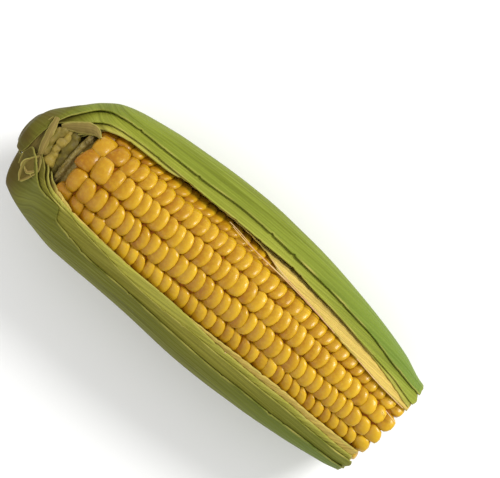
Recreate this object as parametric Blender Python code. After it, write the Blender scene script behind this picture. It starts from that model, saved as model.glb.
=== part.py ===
"""Trimmed cob of sweetcorn, lying on its closed husk with the husk cut open along the top.

Blender 4.5, metres, +Z up. +X runs along the ear from the cut stalk to the cut tip, and +Y is the
left side seen from the stalk. The origin is the middle of the ear's bounding box, on the surface that
the ear lies on.

The ear is described by three numbers, in millimetres and degrees: `along`, the distance from the stalk
end; `turn`, the angle round the ear's axis, 0 at the top and positive towards a leaf's own side; and
the distance out from the axis. `place` turns them into a point.
"""

import math

import bmesh
import bpy
from mathutils import Vector

MM = 0.001

# Driving dimensions, in millimetres and degrees.
EAR_LENGTH = 173.5
ALONG_MIDDLE = 86.94
AXIS_HEIGHT = 30.4
AXIS_ACROSS = -1.6
TIP_BEND = 3.1
TIP_BEND_START = 80.0
STALK_CUT = 2.5
STALK_LEAN = 0.25
STALK_LEAN_END = 24.0

KERNEL_ROWS = 16
KERNELS_PER_ROW = 34
FIRST_ROW_TURN = 11.6
ROW_START = 21.5
ROW_END = 171.5
BUTT_STRETCH = 0.5
BUTT_FADE = 2.5
ROW_GAP = 0.32
KERNEL_DOME = 1.7
KERNEL_GROOVE = 1.5
KERNELS_PER_SIDE_PANEL = 4

LEAF_THICKNESS = 0.45
LEAF_ROOT_LIFT = 0.5
SIDE_STARTS = 42.0  # turn where the husk starts to bulge away from the kernels
SILK_RADIUS = 0.2
SILK_LIFT = 0.32

# Distance out from the axis, in millimetres, at each distance along the ear.
CROWNS = [(2.5, 8.0), (8, 9.0), (14, 10.5), (18, 13.5), (21.5, 18.2), (25, 21.6), (30, 23.6),
          (38, 24.4), (65, 24.0), (90, 23.8), (115, 23.1), (142, 21.3), (160, 19.5), (173.5, 17.8)]
CORE = [(2.5, 7.6), (8, 8.5), (14, 9.8), (18, 11.4), (21, 12.4), (60, 13.0), (120, 12.4), (172, 9.6)]
LEFT_WIDTH = [(2.5, 8.9), (5, 12.4), (8.5, 16.4), (11.4, 19.6), (15.8, 24.3), (22.4, 28.7), (32, 31.4),
              (50, 34.0), (87, 35.3), (105, 34.3), (124, 32.1), (142, 29.3), (160.6, 25.2), (173.5, 21.4)]
RIGHT_WIDTH = [(2.5, 8.9), (4.6, 19.4), (7, 21.2), (15.8, 25.2), (24.6, 27.6), (36, 29.6), (68.7, 30.6),
               (96, 32.4), (124, 31.1), (142, 29.0), (160.6, 25.6), (173.5, 22.6)]
BELOW = [(2.5, 9.2), (5, 12.6), (9, 16.6), (15, 21.6), (24, 27.0), (31, 28.9), (38, 30.0), (50, 30.8),
         (68, 31.1), (108, 31.1), (126, 29.8), (150, 27.0), (165, 24.8), (173.5, 23.4)]
ABOVE = [(2.5, 9.2), (5, 12.2), (8.5, 14.6), (12, 16.8), (16, 19.7), (20, 23.6), (25, 26.9), (31, 28.2),
         (38, 28.5), (65, 28.1), (90, 27.9), (115, 27.2), (142, 25.4), (160, 23.6), (173.5, 21.9)]
HUSK_THICKNESS = 4.1  # room that the whole stack of leaves takes where it lies on the kernels


def fade(value, start, end):
    """0 before start and 1 after end, with a smooth step between them."""
    share = min(1.0, max(0.0, (value - start) / (end - start)))
    return share * share * (3 - 2 * share)


def through(points, at):
    """Value of the smooth curve through (place, value) points, level beyond its ends, with no overshoot."""
    if at <= points[0][0]:
        return points[0][1]
    if at >= points[-1][0]:
        return points[-1][1]
    here = max(i for i in range(len(points) - 1) if points[i][0] <= at)
    slopes = [(b[1] - a[1]) / (b[0] - a[0]) for a, b in zip(points, points[1:])]

    def lean(i):
        if i in (0, len(slopes)) or slopes[i - 1] * slopes[i] <= 0:
            return 0.0
        return 2 * slopes[i - 1] * slopes[i] / (slopes[i - 1] + slopes[i])

    (x0, y0), (x1, y1) = points[here], points[here + 1]
    step = x1 - x0
    t = (at - x0) / step
    return (
        y0 * (1 + 2 * t) * (1 - t) ** 2
        + y1 * t * t * (3 - 2 * t)
        + step * lean(here) * t * (1 - t) ** 2
        - step * lean(here + 1) * t * t * (1 - t)
    )


def place(along, across, up):
    """The point this far along the ear, and across and up from its axis, in metres in the part's frame."""
    bend = TIP_BEND * max(0.0, (along - TIP_BEND_START) / (EAR_LENGTH - TIP_BEND_START)) ** 2
    lean = STALK_LEAN * (1 - fade(along, STALK_CUT, STALK_LEAN_END))
    return Vector(
        (
            (along - lean * up - ALONG_MIDDLE) * MM,
            (across - bend + AXIS_ACROSS) * MM,
            (up + AXIS_HEIGHT) * MM,
        )
    )


def place_turned(along, turn, out):
    """The point this far out from the ear's axis, at this many degrees round it from the top."""
    angle = math.radians(turn)
    return place(along, out * math.sin(angle), out * math.cos(angle))


def clear_scene():
    for old in list(bpy.data.objects):
        bpy.data.objects.remove(old)


def finish_material(name, colour, roughness):
    material = bpy.data.materials.new(name)
    material.use_nodes = True
    shader = material.node_tree.nodes["Principled BSDF"]
    shader.inputs["Base Color"].default_value = (*colour, 1.0)
    shader.inputs["Roughness"].default_value = roughness
    shader.inputs["Metallic"].default_value = 0.0
    return material


def add_solid(name, mesh_data, material):
    """Makes the bmesh one smooth-shaded object with its faces pointing out."""
    bmesh.ops.recalc_face_normals(mesh_data, faces=mesh_data.faces)
    mesh = bpy.data.meshes.new(name)
    mesh_data.to_mesh(mesh)
    mesh_data.free()
    mesh.materials.append(material)
    mesh.shade_smooth()
    mesh.set_sharp_from_angle(angle=math.radians(40))
    solid = bpy.data.objects.new(name, mesh)
    bpy.context.scene.collection.objects.link(solid)
    return solid


# The cob's core and its stalk


def add_cob_core(material, sides=20):
    """The pithy core that the kernels sit on, in one piece with the stub of stalk that was cut."""
    stations = [2.5, 8, 14, 18, 21, 40, 60, 90, 120, 146, ROW_END - 0.5]
    mesh = bmesh.new()
    rings = [
        [
            mesh.verts.new(place_turned(along, 360 * i / sides, through(CORE, along)))
            for i in range(sides)
        ]
        for along in stations
    ]
    for ring, following in zip(rings, rings[1:]):
        for i in range(sides):
            mesh.faces.new((ring[i], ring[i - 1], following[i - 1], following[i]))
    mesh.faces.new(rings[0])
    mesh.faces.new(reversed(rings[-1]))
    return add_solid("cob_core", mesh, material)


# Kernels


def kernel_ends():
    """Where each kernel of a row ends along the ear: longest at the butt, and even further on."""
    lengths = [1 + BUTT_STRETCH * math.exp(-i / BUTT_FADE) for i in range(KERNELS_PER_ROW)]
    scale = (ROW_END - ROW_START) / sum(lengths)
    ends = [ROW_START]
    for length in lengths:
        ends.append(ends[-1] + length * scale)
    return ends


def add_kernel_row(number, turn, material):
    """One row of kernels from butt to tip, joined side to side as one wedge with a domed, notched top."""
    half_turn = 180 / KERNEL_ROWS
    ends = kernel_ends()
    stations = []
    for start, end in zip(ends, ends[1:]):
        stations += [(start, True), ((start + end) / 2, False)]
    stations.append((ends[-1], True))

    mesh = bmesh.new()

    def corner(along, side, out):
        gap_turn = math.degrees(ROW_GAP / 2 / out)
        return mesh.verts.new(place_turned(along, turn + side * (half_turn - gap_turn), out))

    tops = []
    for along, groove in stations:
        crown = through(CROWNS, along) - (KERNEL_GROOVE if groove else 0)
        shoulder = crown - KERNEL_DOME
        tops.append((
            corner(along, -1, shoulder),
            mesh.verts.new(place_turned(along, turn, crown)),
            corner(along, 1, shoulder),
        ))
    for one, following in zip(tops, tops[1:]):
        for i in (0, 1):
            mesh.faces.new((one[i], one[i + 1], following[i + 1], following[i]))

    panel = 2 * KERNELS_PER_SIDE_PANEL
    marks = [*range(0, len(stations) - 1, panel), len(stations) - 1]
    feet = []
    for m in marks:
        along = stations[m][0]
        out = (through(CORE, along) + ROW_GAP) / math.cos(math.radians(half_turn))
        feet.append((corner(along, -1, out), corner(along, 1, out)))
    for i, (first, last) in enumerate(zip(marks, marks[1:])):
        mesh.faces.new((feet[i][0], feet[i + 1][0], feet[i + 1][1], feet[i][1]))
        for side, top in ((0, 0), (1, 2)):
            upper = [tops[m][top] for m in range(last, first - 1, -1)]
            mesh.faces.new((feet[i][side], feet[i + 1][side], *upper))
    for top, foot in ((tops[0], feet[0]), (tops[-1], feet[-1])):
        mesh.faces.new((*top, foot[1], foot[0]))
    return add_solid(f"kernel_row_{number:02d}", mesh, material)


# Husk leaves


class Leaf:
    """One husk leaf: where its cut edge and its margin run, and how far out of the kernels it stands."""

    def __init__(self, side, root, tip, rise, edge, margin, rest, spread):
        self.side = side  # +1 on the left (+Y), -1 on the right
        self.root = root  # where it leaves the stalk, along the ear
        self.tip = tip
        self.rise = rise  # how far along the ear it takes to swell out to its place
        self.edge = edge  # turn of the edge at the opening
        self.margin = margin  # turn of the edge hidden on the far side
        self.rest = rest  # how far off the kernels its outer face lies near the opening
        self.spread = spread  # shares of the husk's spare room that it takes at the side and below

    def swell(self, along):
        return math.sin(math.acos(1 - min(1.0, (along - self.root) / self.rise)))

    def point(self, along, turn, inset):
        """A point of the leaf's outer face, or inset this far into it."""
        angle = math.radians(turn)
        own_turn = (turn + 180) % 360 - 180  # the same place as an angle from -180 to 180
        on_left = (own_turn >= 0) == (self.side > 0)
        width = through(LEFT_WIDTH if on_left else RIGHT_WIDTH, along)
        above = through(ABOVE, along)
        at_side, below = self.spread
        if abs(own_turn) <= 90:
            reach = above + (width - above) * fade(abs(own_turn), SIDE_STARTS, 90)
            spread = at_side
        else:
            reach = 1 / math.hypot(math.sin(angle) / width, math.cos(angle) / through(BELOW, along))
            spread = at_side + (below - at_side) * fade(abs(own_turn), 90, 140)
        crown = through(CROWNS, along)
        room = self.rest - LEAF_ROOT_LIFT + (reach - crown - HUSK_THICKNESS) * spread
        out = crown + LEAF_ROOT_LIFT + room * self.swell(along) - inset
        spot = place_turned(along, self.side * turn, out)
        spot.z = max(spot.z, inset * MM)  # it lies flat where it rests
        return spot

    def stations(self):
        """Places along the leaf: its own where it swells out or its edge turns, then ones all share."""
        own = [self.root]
        while own[-1] < self.root + self.rise + EDGE_TURNS_WITHIN:
            here = own[-1]
            ahead = here
            while (
                ahead - here < LONGEST_ROOT_STEP
                and abs(through(self.edge, ahead) - through(self.edge, here)) < MOST_TURN_PER_STEP
                and abs(self.swell(ahead) - self.swell(here)) < MOST_SWELL_PER_STEP
            ):
                ahead += 0.1
            own.append(ahead)
        shared = [s for s in LEAF_STATIONS if own[-1] + 1 < s < self.tip - 1]
        return [*own, *shared, self.tip]


# Places along the ear.
LEAF_STATIONS = [15, 17.5, 20, 22, 24.5, 27.5, 31.5, 38, 50, 68, 90, 108, 126, 143, 158]
EDGE_TURNS_WITHIN = 6.0
LONGEST_ROOT_STEP = 2.5
MOST_TURN_PER_STEP = 16.0
MOST_SWELL_PER_STEP = 0.3

# Each pair of numbers is a place along the ear and a turn.
LEAVES = {
    "outer_husk_left": Leaf(
        1, 2.6, 173.4, 3.0,
        [(2.6, -40), (7.4, -36), (9.1, -20), (10, 10), (11, 36), (12, 50), (14.6, 61), (18.2, 68),
         (21.4, 67), (25.2, 64), (36, 61), (50, 60.2), (87, 62.2), (105, 61), (142, 60), (160, 56),
         (173.5, 56.5)],
        [(2.6, 192), (40, 200), (100, 198), (140, 190), (173.5, 182)],
        4.1, (1.0, 1.0),
    ),
    "outer_husk_right": Leaf(
        -1, 4.9, 168.6, 3.0,
        [(4.9, 44), (7.6, 40), (9.3, 24), (10.4, 14), (12, 16), (15, 25.5), (16.2, 30), (17.3, 34),
         (19.8, 36), (24, 33.2), (29.6, 31.8), (31.8, 43), (37.6, 46.4), (50, 53.4), (69, 56), (105, 60.5),
         (142, 63), (160, 67), (168, 70)],
        [(4.9, 196), (40, 202), (100, 200), (140, 196), (168, 192)],
        3.6, (1.0, 0.67),
    ),
    "second_husk_left": Leaf(
        1, 6.6, 173.2, 8.0,
        [(6.6, -30), (8.2, 5), (9.9, 38), (12.1, 45.5), (15.9, 51.6), (19.2, 52.7), (22.6, 53.9),
         (28.4, 53.7), (50, 54.1), (69, 53.9), (87, 54.5), (105, 55), (124, 53), (142, 49.5), (160, 47.5),
         (173, 43)],
        [(6.6, 192), (40, 202), (100, 202), (173, 198)],
        3.0, (0.84, 0.56),
    ),
    "second_husk_right": Leaf(
        -1, 9.2, 169.6, 8.0,
        [(9.2, 6), (12, 11), (15, 16), (17.4, 21.5), (18.9, 28), (21.8, 31.2), (34, 31.5), (38, 33.6),
         (50, 39.2), (69, 46.4), (87, 48), (105, 48.5), (142, 51), (168, 55.5)],
        [(9.2, 192), (40, 200), (100, 202), (168, 198)],
        2.5, (0.84, 0.44),
    ),
    "third_husk": Leaf(
        1, 12.4, 172.4, 8.0,
        [(12.4, 34), (14.7, 35), (17.7, 35), (20.3, 38), (21.3, 43), (22.6, 48.5), (26.3, 48.8),
         (33.5, 50.6), (50, 52), (69, 62), (87, 66), (105, 66), (124, 62), (142, 52), (160, 44.5),
         (173, 37.5)],
        [(12.4, 348), (15, 345), (18.5, 339.2), (19.7, 334.5), (22.4, 331.6), (26.9, 331.9), (34, 330.2),
         (43, 327.6), (60, 324.4), (87, 322.1), (105, 317), (142, 314.4), (173, 308.5)],
        1.8, (0.6, 0.36),
    ),
    "inner_husk": Leaf(
        1, 15.8, 172.8, 6.0,
        [(15.8, 37), (19.2, 42), (21, 47), (24.2, 51.6), (27.6, 53), (60, 63), (80, 63), (93, 58),
         (100, 52.4), (105, 46.6), (124, 41.5), (142, 35.2), (160, 31.2), (173, 34)],
        [(15.8, 343), (19.4, 335.5), (21.5, 334), (24.9, 334.6), (29.7, 333.4), (34, 331), (43, 328),
         (60, 323.5), (80, 319.6), (100, 320.4), (124, 322.3), (142, 320.4), (160, 319), (173, 318)],
        0.85, (0.0, 0.0),
    ),
}


def add_leaf(name, leaf, material, degrees_per_strip=15.0):
    """A thin closed sheet that wraps round the ear from its edge at the opening to its far margin."""
    stations = leaf.stations()
    widest = max(through(leaf.margin, s) - through(leaf.edge, s) for s in stations)
    strips = math.ceil(widest / degrees_per_strip)
    mesh = bmesh.new()

    def sheet(inset):
        rows = []
        for along in stations:
            start, end = through(leaf.edge, along), through(leaf.margin, along)
            turns = [start + (end - start) * i / strips for i in range(strips + 1)]
            rows.append([mesh.verts.new(leaf.point(along, turn, inset)) for turn in turns])
        return rows

    outside, inside = sheet(0), sheet(LEAF_THICKNESS)
    last = len(stations) - 1
    for i in range(last):
        for j in range(strips):
            for rows in (outside, inside):
                mesh.faces.new((rows[i][j], rows[i][j + 1], rows[i + 1][j + 1], rows[i + 1][j]))
        for j in (0, strips):
            mesh.faces.new((outside[i][j], outside[i + 1][j], inside[i + 1][j], inside[i][j]))
    for i in (0, last):
        for j in range(strips):
            mesh.faces.new((outside[i][j], outside[i][j + 1], inside[i][j + 1], inside[i][j]))
    return add_solid(name, mesh, material)


# A strand of silk left between the kernels and the husk: places along the ear and turns.
SILK_PATH = [(83.5, 54), (86, 53), (89, 51.5), (92, 50), (95, 48), (98, 46), (102, 43.5), (106, 41)]


def add_silk(material, sides=4):
    mesh = bmesh.new()
    rings = []
    for along, turn in SILK_PATH:
        middle = place_turned(along, turn, through(CROWNS, along) + SILK_LIFT)
        rings.append([
            mesh.verts.new(middle + Vector((0, math.cos(a), math.sin(a))) * SILK_RADIUS * MM)
            for a in (2 * math.pi * i / sides for i in range(sides))
        ])
    for ring, following in zip(rings, rings[1:]):
        for i in range(sides):
            mesh.faces.new((ring[i], ring[i - 1], following[i - 1], following[i]))
    mesh.faces.new(rings[0])
    mesh.faces.new(reversed(rings[-1]))
    return add_solid("silk_strand", mesh, material)


def main():
    clear_scene()
    kernel = finish_material("kernel_skin", (0.78, 0.45, 0.05), 0.25)
    core = finish_material("cob_pith", (0.70, 0.62, 0.38), 0.7)
    green = finish_material("green_husk", (0.22, 0.29, 0.06), 0.55)
    pale = finish_material("pale_husk", (0.62, 0.52, 0.22), 0.6)
    silk = finish_material("dry_silk", (0.60, 0.40, 0.16), 0.6)

    add_cob_core(core)
    for row in range(KERNEL_ROWS):
        add_kernel_row(row + 1, FIRST_ROW_TURN + 360 * row / KERNEL_ROWS, kernel)
    for name, leaf in LEAVES.items():
        add_leaf(name, leaf, pale if name == "inner_husk" else green)
    add_silk(silk)


main()
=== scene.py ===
"""Trimmed cob of sweetcorn lying on its husk, as a Blender add-on that is run as a script.

+X runs along the ear from the cut stalk to the cut tip, +Y is its left side seen from the stalk, and
the husk is cut open along the top. Places on the ear are given by `along`, the distance from the stalk
end in millimetres, and `turn`, the angle round the ear's axis in degrees, 0 at the top.
"""

import math
import random

import bmesh
import bpy
from bpy.props import FloatProperty, FloatVectorProperty, IntProperty, PointerProperty
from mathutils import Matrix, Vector, noise


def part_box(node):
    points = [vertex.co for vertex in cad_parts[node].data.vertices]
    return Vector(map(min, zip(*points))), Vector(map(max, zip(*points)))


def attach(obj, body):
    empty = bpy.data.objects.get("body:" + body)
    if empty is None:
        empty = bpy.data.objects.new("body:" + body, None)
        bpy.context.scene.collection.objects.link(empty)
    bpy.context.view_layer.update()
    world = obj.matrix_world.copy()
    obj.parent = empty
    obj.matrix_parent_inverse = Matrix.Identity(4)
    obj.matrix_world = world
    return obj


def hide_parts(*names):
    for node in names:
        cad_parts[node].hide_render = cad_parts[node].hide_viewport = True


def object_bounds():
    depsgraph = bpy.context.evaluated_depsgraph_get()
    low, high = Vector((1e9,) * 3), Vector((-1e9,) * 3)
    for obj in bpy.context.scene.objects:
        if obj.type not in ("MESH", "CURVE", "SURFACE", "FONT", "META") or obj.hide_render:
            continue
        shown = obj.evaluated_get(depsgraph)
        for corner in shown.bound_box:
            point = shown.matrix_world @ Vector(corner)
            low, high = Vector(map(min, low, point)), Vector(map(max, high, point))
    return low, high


bl_info = {
    "name": "Corn Cob in Husk",
    "version": (1, 0, 0),
    "blender": (4, 5, 0),
    "location": "View3D > Sidebar > Corn Cob",
    "description": "Builds a trimmed cob of sweetcorn lying on its cut-open husk",
    "category": "Add Mesh",
}

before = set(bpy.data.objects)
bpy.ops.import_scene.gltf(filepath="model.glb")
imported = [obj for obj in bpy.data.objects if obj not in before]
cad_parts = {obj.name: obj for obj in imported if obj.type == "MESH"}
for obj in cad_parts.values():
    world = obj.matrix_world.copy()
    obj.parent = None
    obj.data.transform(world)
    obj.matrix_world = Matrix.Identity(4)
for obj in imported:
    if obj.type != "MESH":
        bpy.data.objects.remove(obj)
CAD_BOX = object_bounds()
MM = 0.001

# The ear's axis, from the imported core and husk. Lengths from here on are in millimetres.
CORE_LOW, CORE_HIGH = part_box("cob_core")
AXIS_HEIGHT = (CORE_LOW.z + CORE_HIGH.z) / 2 / MM
FIRST_POINT = 0.48  # how far along the ear the foremost point of its leaning foot stands
EAR_START = CAD_BOX[0].x / MM - FIRST_POINT
AXIS_ACROSS = -1.6
TIP_BEND = 3.1  # how far the tip curves to the right
TIP_BEND_START = 80.0
EAR_LENGTH = 173.5
STALK_CUT = 2.5
STALK_LEAN = 0.25  # how far the foot's top leans back towards the stalk, for each millimetre of height
STALK_LEAN_END = 24.0

ROWS = 16
ROW_TURN = 360 / ROWS
FIRST_ROW_TURN = 11.6

LEAF_ROOT_LIFT = 0.5  # how far off the crowns a leaf stands where it springs from the stalk
SIDE_STARTS = 42.0  # turn where the husk starts to bulge away from the kernels

# Distance out from the axis, in millimetres, at each distance along the ear.
CROWNS = [(2.5, 8.0), (8, 9.0), (14, 10.5), (18, 13.5), (21.5, 18.2), (25, 21.6), (30, 23.6),
          (38, 24.4), (65, 24.0), (90, 23.8), (115, 23.1), (142, 21.3), (160, 19.5), (173.5, 17.8)]
CORE = [(2.5, 7.6), (8, 8.5), (14, 9.8), (18, 11.4), (21, 12.4), (60, 13.0), (120, 12.4), (172, 9.6)]
LEFT_WIDTH = [(2.5, 8.9), (5, 12.4), (8.5, 16.4), (11.4, 19.6), (15.8, 24.3), (22.4, 28.7), (32, 31.4),
              (50, 34.0), (87, 35.3), (105, 34.3), (124, 32.1), (142, 29.3), (160.6, 25.2), (173.5, 21.4)]
RIGHT_WIDTH = [(2.5, 8.9), (4.6, 19.4), (7, 21.2), (15.8, 25.2), (24.6, 27.6), (36, 29.6), (68.7, 30.6),
               (96, 32.4), (124, 31.1), (142, 29.0), (160.6, 25.6), (173.5, 22.6)]
BELOW = [(2.5, 9.2), (5, 12.6), (9, 16.6), (15, 21.6), (24, 27.0), (31, 28.9), (38, 30.0), (50, 30.8),
         (68, 31.1), (108, 31.1), (126, 29.8), (150, 27.0), (165, 24.8), (173.5, 23.4)]
ABOVE = [(2.5, 9.2), (5, 12.2), (8.5, 14.6), (12, 16.8), (16, 19.7), (20, 23.6), (25, 26.9), (31, 28.2),
         (38, 28.5), (65, 28.1), (90, 27.9), (115, 27.2), (142, 25.4), (160, 23.6), (173.5, 21.9)]
HUSK_THICKNESS = 4.1  # room that the whole stack of leaves takes where it lies on the kernels


# Sizes and colours that a user would change


def hex_linear(code):
    """An sRGB hex colour as linear red, green and blue."""
    parts = [int(code[i : i + 2], 16) / 255 for i in (1, 3, 5)]
    return tuple(c / 12.92 if c <= 0.04045 else ((c + 0.055) / 1.055) ** 2.4 for c in parts)


def colour(name, description, code):
    """A colour property with this sRGB hex default."""
    return FloatVectorProperty(
        name=name, description=description, subtype="COLOR", size=3, min=0, max=1, default=hex_linear(code)
    )


def length(name, description, millimetres):
    """A length property with this default."""
    return FloatProperty(
        name=name, description=description, subtype="DISTANCE", unit="LENGTH", min=0,
        default=millimetres * MM, precision=5,
    )


class CornSizes(bpy.types.PropertyGroup):
    kernels_per_row: IntProperty(
        name="Kernels per Row", description="Kernels from the stalk to the tip", default=35, min=20, max=60
    )
    kernel_lean: FloatProperty(
        name="Kernel Lean", description="How far a kernel's crown leans towards the tip",
        subtype="ANGLE", unit="ROTATION", default=math.radians(24),
    )
    leaf_thickness: length("Leaf Thickness", "Thickness of a husk leaf", 0.5)
    rib_spacing: length("Rib Spacing", "Distance between the raised ribs of a leaf", 1.9)
    silk_thickness: length("Silk Thickness", "Diameter of a strand of silk", 0.3)
    camera_height: length("Camera Height", "Distance of the camera above the floor", 640)


class CornColours(bpy.types.PropertyGroup):
    kernel_crown: colour("Kernel Crown", "Full part of a kernel", "#d0a318")
    # The flank colour is partly painted shade, given low down and on the sides away from the key lamp.
    kernel_flank_and_shade: colour("Kernel Flank", "Flank of a kernel, down between its neighbours", "#955c04")
    kernel_ripe: colour("Ripe Kernel", "Deepest tone that a kernel takes", "#946606")
    kernel_pale: colour("Pale Kernel", "Lightest tone that a kernel takes", "#e3bf30")
    husk_outer: colour("Outer Husk", "Outer leaves", "#707a1b")
    # The right-hand leaves take darker copies of the leaf colours, as painted shade on the side away from the
    # key lamp.
    husk_shaded: colour("Right Outer Husk", "Outer leaf on the darker side", "#66671a")
    husk_second_shaded: colour("Right Second Husk", "Second leaf on the darker side", "#7f7a26")
    husk_second: colour("Second Husk", "Second leaves", "#858a28")
    husk_third: colour("Third Husk", "Leaf that wraps the back", "#a19c3c")
    husk_cream: colour("Cream Husk", "Thin leaf against the kernels", "#c3a852")
    husk_tip: colour("Husk Tip", "Greener part of the leaves at the tip", "#5c7b30")
    husk_base: colour("Cut Leaf Base", "Pale folds at the stalk", "#86743a")
    husk_rim: colour("Cut Rim", "Cut edge of a leaf", "#a8a050")
    husk_brown: colour("Bruised Husk", "Leaf bases at the stalk", "#55491a")
    bud_pale: colour("Pale Bud", "Youngest tissue at the foot", "#917d30")
    bud_green: colour("Green Bud", "Young sheath at the foot", "#6c601d")
    pith: colour("Pith", "Cut face of the cob and stalk", "#e3d6a6")
    cob_wood: colour("Woody Cob", "Woody ring round the pith", "#7a682a")
    socket: colour("Kernel Socket", "Chaff between the feet of the kernels", "#8f5008")
    silk: colour("Silk", "Dried strands of silk", "#b87a45")
    silk_pale: colour("Pale Silk", "Paler stretches of silk", "#e3c98c")
    floor: colour("Floor", "Surface that the ear lies on", "#f7f7f6")


# Shape of the ear


def fade(value, start, end):
    """0 before start and 1 after end, with a smooth step between them."""
    share = min(1.0, max(0.0, (value - start) / (end - start)))
    return share * share * (3 - 2 * share)


def hump(value, middle, half_width):
    """1 at the middle, falling smoothly to 0 at half a width either side of it."""
    return 1 - fade(abs(value - middle), 0, half_width)


def through(points, at):
    """Value of the smooth curve through (place, value) points, level beyond its ends, with no overshoot."""
    if at <= points[0][0]:
        return points[0][1]
    if at >= points[-1][0]:
        return points[-1][1]
    here = max(i for i in range(len(points) - 1) if points[i][0] <= at)

    def slope(i):
        if i in (0, len(points) - 1):
            return 0.0
        before = (points[i][1] - points[i - 1][1]) / (points[i][0] - points[i - 1][0])
        after = (points[i + 1][1] - points[i][1]) / (points[i + 1][0] - points[i][0])
        return 2 * before * after / (before + after) if before * after > 0 else 0.0

    (x0, y0), (x1, y1) = points[here], points[here + 1]
    step = x1 - x0
    t = (at - x0) / step
    return (
        y0 * (1 + 2 * t) * (1 - t) ** 2
        + y1 * t * t * (3 - 2 * t)
        + step * slope(here) * t * (1 - t) ** 2
        - step * slope(here + 1) * t * t * (1 - t)
    )


def place(along, across, up):
    """The point this far along the ear, and across and up from its axis, in metres in the part's frame."""
    bend = TIP_BEND * max(0.0, (along - TIP_BEND_START) / (EAR_LENGTH - TIP_BEND_START)) ** 2
    lean = STALK_LEAN * (1 - fade(along, STALK_CUT, STALK_LEAN_END))
    return Vector((
        (along - lean * up + EAR_START) * MM,
        (across - bend + AXIS_ACROSS) * MM,
        (up + AXIS_HEIGHT) * MM,
    ))


def place_upright(along, across, up):
    """As place, but straight above its own mark along the ear, without the stalk's lean."""
    return Vector(((along + EAR_START) * MM, (across + AXIS_ACROSS) * MM, (up + AXIS_HEIGHT) * MM))


def place_turned(along, turn, out):
    """The point this far along the ear, and this far out from its axis at this turn."""
    angle = math.radians(turn)
    return place(along, out * math.sin(angle), out * math.cos(angle))


# Working with Blender's tools


def deselect_all():
    """Back to object mode, with nothing selected."""
    if bpy.context.mode != "OBJECT":
        bpy.ops.object.mode_set(mode="OBJECT")
    bpy.ops.object.select_all(action="DESELECT")


def select_only(piece):
    """Leaves only this piece selected, and active."""
    deselect_all()
    piece.select_set(True)
    bpy.context.view_layer.objects.active = piece


def select_faces(piece, wanted):
    """In edit mode, selects the faces whose middle passes the test, and nothing else."""
    mesh = bmesh.from_edit_mesh(piece.data)
    mesh.select_mode = {"FACE"}
    for face in mesh.faces:
        face.select_set(False)
    for face in mesh.faces:
        face.select_set(wanted(face.calc_center_median()))
    mesh.select_flush_mode()
    bmesh.update_edit_mesh(piece.data)


def apply_modifier(piece, kind, **settings):
    """Adds a modifier with these settings and applies it."""
    select_only(piece)
    modifier = piece.modifiers.new(kind.title(), kind)
    for name, value in settings.items():
        setattr(modifier, name, value)
    bpy.ops.object.modifier_apply(modifier=modifier.name)


def join(pieces, name):
    """Joins the pieces into one of this name."""
    deselect_all()
    for piece in pieces:
        piece.select_set(True)
    bpy.context.view_layer.objects.active = pieces[0]
    bpy.ops.object.join()
    joined = bpy.context.view_layer.objects.active
    joined.name = joined.data.name = name
    return joined


def new_sheet(name, lengthwise, across):
    """A flat sheet of faces, from -1 to 1 both ways, for a piece of this name."""
    deselect_all()
    bpy.ops.mesh.primitive_grid_add(x_subdivisions=lengthwise, y_subdivisions=across, size=2)
    piece = bpy.context.active_object
    piece.name = piece.data.name = name
    return piece


def face_outward(piece, weld=False):
    """Turns all faces the same way, after welding the corners that meet where this is asked for."""
    select_only(piece)
    bpy.ops.object.mode_set(mode="EDIT")
    bpy.ops.mesh.select_all(action="SELECT")
    if weld:
        bpy.ops.mesh.remove_doubles(threshold=0.01 * MM)
    bpy.ops.mesh.normals_make_consistent(inside=False)
    bpy.ops.object.mode_set(mode="OBJECT")


def set_attribute(mesh, name, values):
    """Stores one value for each vertex, for the materials to read."""
    attribute = mesh.attributes.get(name) or mesh.attributes.new(name, "FLOAT", "POINT")
    attribute.data.foreach_set("value", values)


def hand_over(piece, material, slot, *nodes):
    """Finishes a piece, puts it on the ear's body and hides the imported solids that it stands for."""
    piece.data.materials.clear()
    piece.data.materials.append(material)
    select_only(piece)
    bpy.ops.object.shade_smooth()
    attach(piece, "root")
    if nodes:
        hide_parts(*nodes)


# Materials


def new_material(name):
    """The material of this name and its node tree, or None for the tree where it is already made."""
    material = bpy.data.materials.get(name)
    if material:
        return material, None
    material = bpy.data.materials.new(name)
    material.use_nodes = True
    return material, material.node_tree


def set_inputs(tree, node, inputs):
    """Sets a node's inputs. A (node, output) pair is linked, and anything else is a value."""
    for name, value in inputs.items():
        socket = node.inputs[name]
        if isinstance(value, tuple) and isinstance(value[0], bpy.types.Node):
            tree.links.new(value[0].outputs[value[1]], socket)
        elif socket.type == "RGBA":
            socket.default_value = (*value, 1.0)
        else:
            socket.default_value = value


def add_node(tree, kind, inputs, **settings):
    """Adds a node with its settings and links."""
    node = tree.nodes.new("ShaderNode" + kind)
    for name, value in settings.items():
        setattr(node, name, value)
    set_inputs(tree, node, inputs)
    return node


# Sockets of a Mix node that mixes colours.
SHARE, FIRST, SECOND, MIXED = 0, 6, 7, 2


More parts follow.
